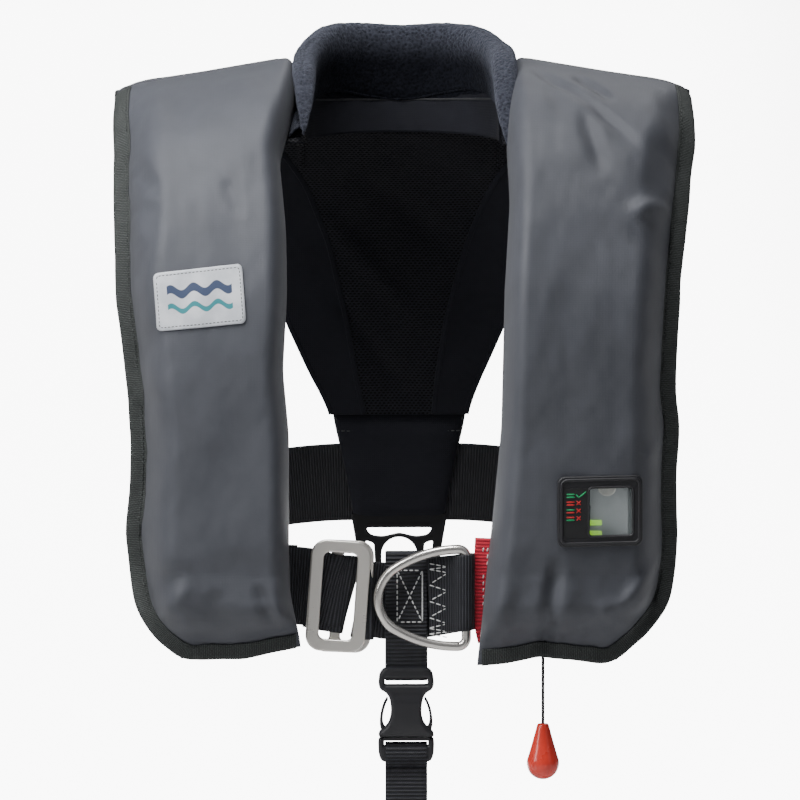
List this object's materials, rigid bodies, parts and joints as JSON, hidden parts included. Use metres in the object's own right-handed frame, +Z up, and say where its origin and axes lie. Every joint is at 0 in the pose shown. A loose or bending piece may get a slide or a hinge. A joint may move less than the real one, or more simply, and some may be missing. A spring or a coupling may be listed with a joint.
{
  "type": "inflatable life jacket",
  "caption": "Inflatable life jacket: grey fabric cover over a folded bladder, waist harness with steel buckle and D-ring, crotch strap, gas inflator behind a window and a red pull toggle.",
  "frame": {"origin": "midway between the shoulders, level with the top of the cover where it crosses them", "axes": "the front faces -Y, the wearer's left is +X, +Z is up"},
  "size_m": [0.3496, 0.2451, 0.569],
  "materials": {
    "cover_cloth": "satin",
    "lining_cloth": "matt",
    "binding": "matt",
    "bladder_cloth": "satin",
    "fleece": "matt",
    "mesh": "matt",
    "yoke_cloth": "matt",
    "belt_webbing": "matt",
    "strap_webbing": "matt",
    "elastic": "matt",
    "red_webbing": "matt",
    "satin_steel": "satin",
    "polished_steel": "polished",
    "black_plastic": "satin",
    "label": "satin",
    "clear_plastic": "gloss",
    "card": "matt",
    "grey_plastic": "matt",
    "indicator": "gloss",
    "gas_steel": "satin",
    "lever_plastic": "gloss",
    "pin_steel": "satin",
    "cord": "matt",
    "toggle_red": "gloss",
    "tube_rubber": "matt",
    "valve_plastic": "matt",
    "poppet_plastic": "matt",
    "whistle_plastic": "gloss"
  },
  "bodies": {
    "jacket": {"left_front_cover": "cover_cloth", "right_front_cover": "cover_cloth", "neck_cover": "cover_cloth", "left_back_panel": "lining_cloth", "right_back_panel": "lining_cloth", "neck_back_panel": "lining_cloth", "left_binding": "binding", "right_binding": "binding", "neck_binding": "binding", "left_bladder": "bladder_cloth", "right_bladder": "bladder_cloth", "neck_bladder": "bladder_cloth", "fleece_collar": "fleece", "yoke_mesh": "mesh", "neck_lining": "mesh", "yoke_side_left": "yoke_cloth", "yoke_side_right": "yoke_cloth", "belt_sleeve": "yoke_cloth", "waist_belt": "belt_webbing", "left_front_belt": "belt_webbing", "right_front_belt": "belt_webbing", "d_ring_loop": "belt_webbing", "upper_crotch_strap": "strap_webbing", "lower_crotch_strap": "strap_webbing", "strap_hank": "strap_webbing", "strap_keeper": "elastic", "lifting_loop": "red_webbing", "buckle_plate": "satin_steel", "rear_bracket": "black_plastic", "clip_female": "black_plastic", "clip_male": "black_plastic", "window_frame": "black_plastic", "label_patch": "label", "window_pane": "clear_plastic", "status_card": "card", "inflator_body": "grey_plastic", "sensor_cartridge": "grey_plastic", "indicator_tabs": "indicator", "gas_cylinder": "gas_steel", "lever_pin": "pin_steel", "whistle_lanyard": "cord", "oral_tube": "tube_rubber", "oral_valve": "valve_plastic", "whistle": "whistle_plastic"},
    "pull_cord": {"pull_cord": "cord", "cord_knot": "cord", "pull_toggle": "toggle_red"},
    "firing_lever": {"firing_lever": "lever_plastic"},
    "piercing_pin": {"piercing_pin": "pin_steel"},
    "d_ring": {"d_ring": "polished_steel"},
    "locking_frame": {"buckle_frame": "satin_steel"},
    "prong_left": {"prong_left": "black_plastic"},
    "prong_right": {"prong_right": "black_plastic"},
    "oral_poppet": {"oral_poppet": "poppet_plastic"},
    "oral_cap": {"oral_cap": "valve_plastic"}
  },
  "joints": [
    {"name": "toggle_pull", "type": "slide", "parent": "jacket", "child": "pull_cord", "axis": [0, 0, -1], "range_m": [0, 0.028]},
    {"name": "lever_turn", "type": "hinge", "parent": "jacket", "child": "firing_lever", "pos_m": [0.114, -0.109, -0.293], "axis": [0, -1, 0], "range_deg": [0, 50.2]},
    {"name": "pin_stroke", "type": "slide", "parent": "jacket", "child": "piercing_pin", "axis": [0, 0, 1], "range_m": [0, 0.0034]},
    {"name": "d_ring_swing", "type": "hinge", "parent": "jacket", "child": "d_ring", "pos_m": [0.0365, -0.097, -0.315], "axis": [0, 0, 1], "range_deg": [0, 95]},
    {"name": "locking_frame_tilt", "type": "hinge", "parent": "jacket", "child": "locking_frame", "pos_m": [-0.05756, -0.102, -0.31184], "axis": [-0.0698, 0, -0.9976], "range_deg": [0, 60]},
    {"name": "prong_left_press", "type": "hinge", "parent": "jacket", "child": "prong_left", "pos_m": [-0.0105, -0.0913, -0.3977], "axis": [0, 1, 0], "range_deg": [0, 6], "stiffness_Nm_per_rad": 0.4},
    {"name": "prong_right_press", "type": "hinge", "parent": "jacket", "child": "prong_right", "pos_m": [0.0105, -0.0913, -0.3977], "axis": [0, -1, 0], "range_deg": [0, 6], "stiffness_Nm_per_rad": 0.4},
    {"name": "oral_poppet_press", "type": "slide", "parent": "jacket", "child": "oral_poppet", "axis": [0, 0, 1], "range_m": [0, 0.002], "stiffness_N_per_m": 300},
    {"name": "oral_cap_pull", "type": "slide", "parent": "jacket", "child": "oral_cap", "axis": [0, 0, -1], "range_m": [0, 0.014]}
  ],
  "couplings": [
    {"joint": "lever_turn", "follows": "toggle_pull", "rad_per_m": 31.288},
    {"joint": "pin_stroke", "follows": "toggle_pull", "ratio": 0.12},
    {"joint": "prong_right_press", "follows": "prong_left_press", "ratio": 1}
  ]
}
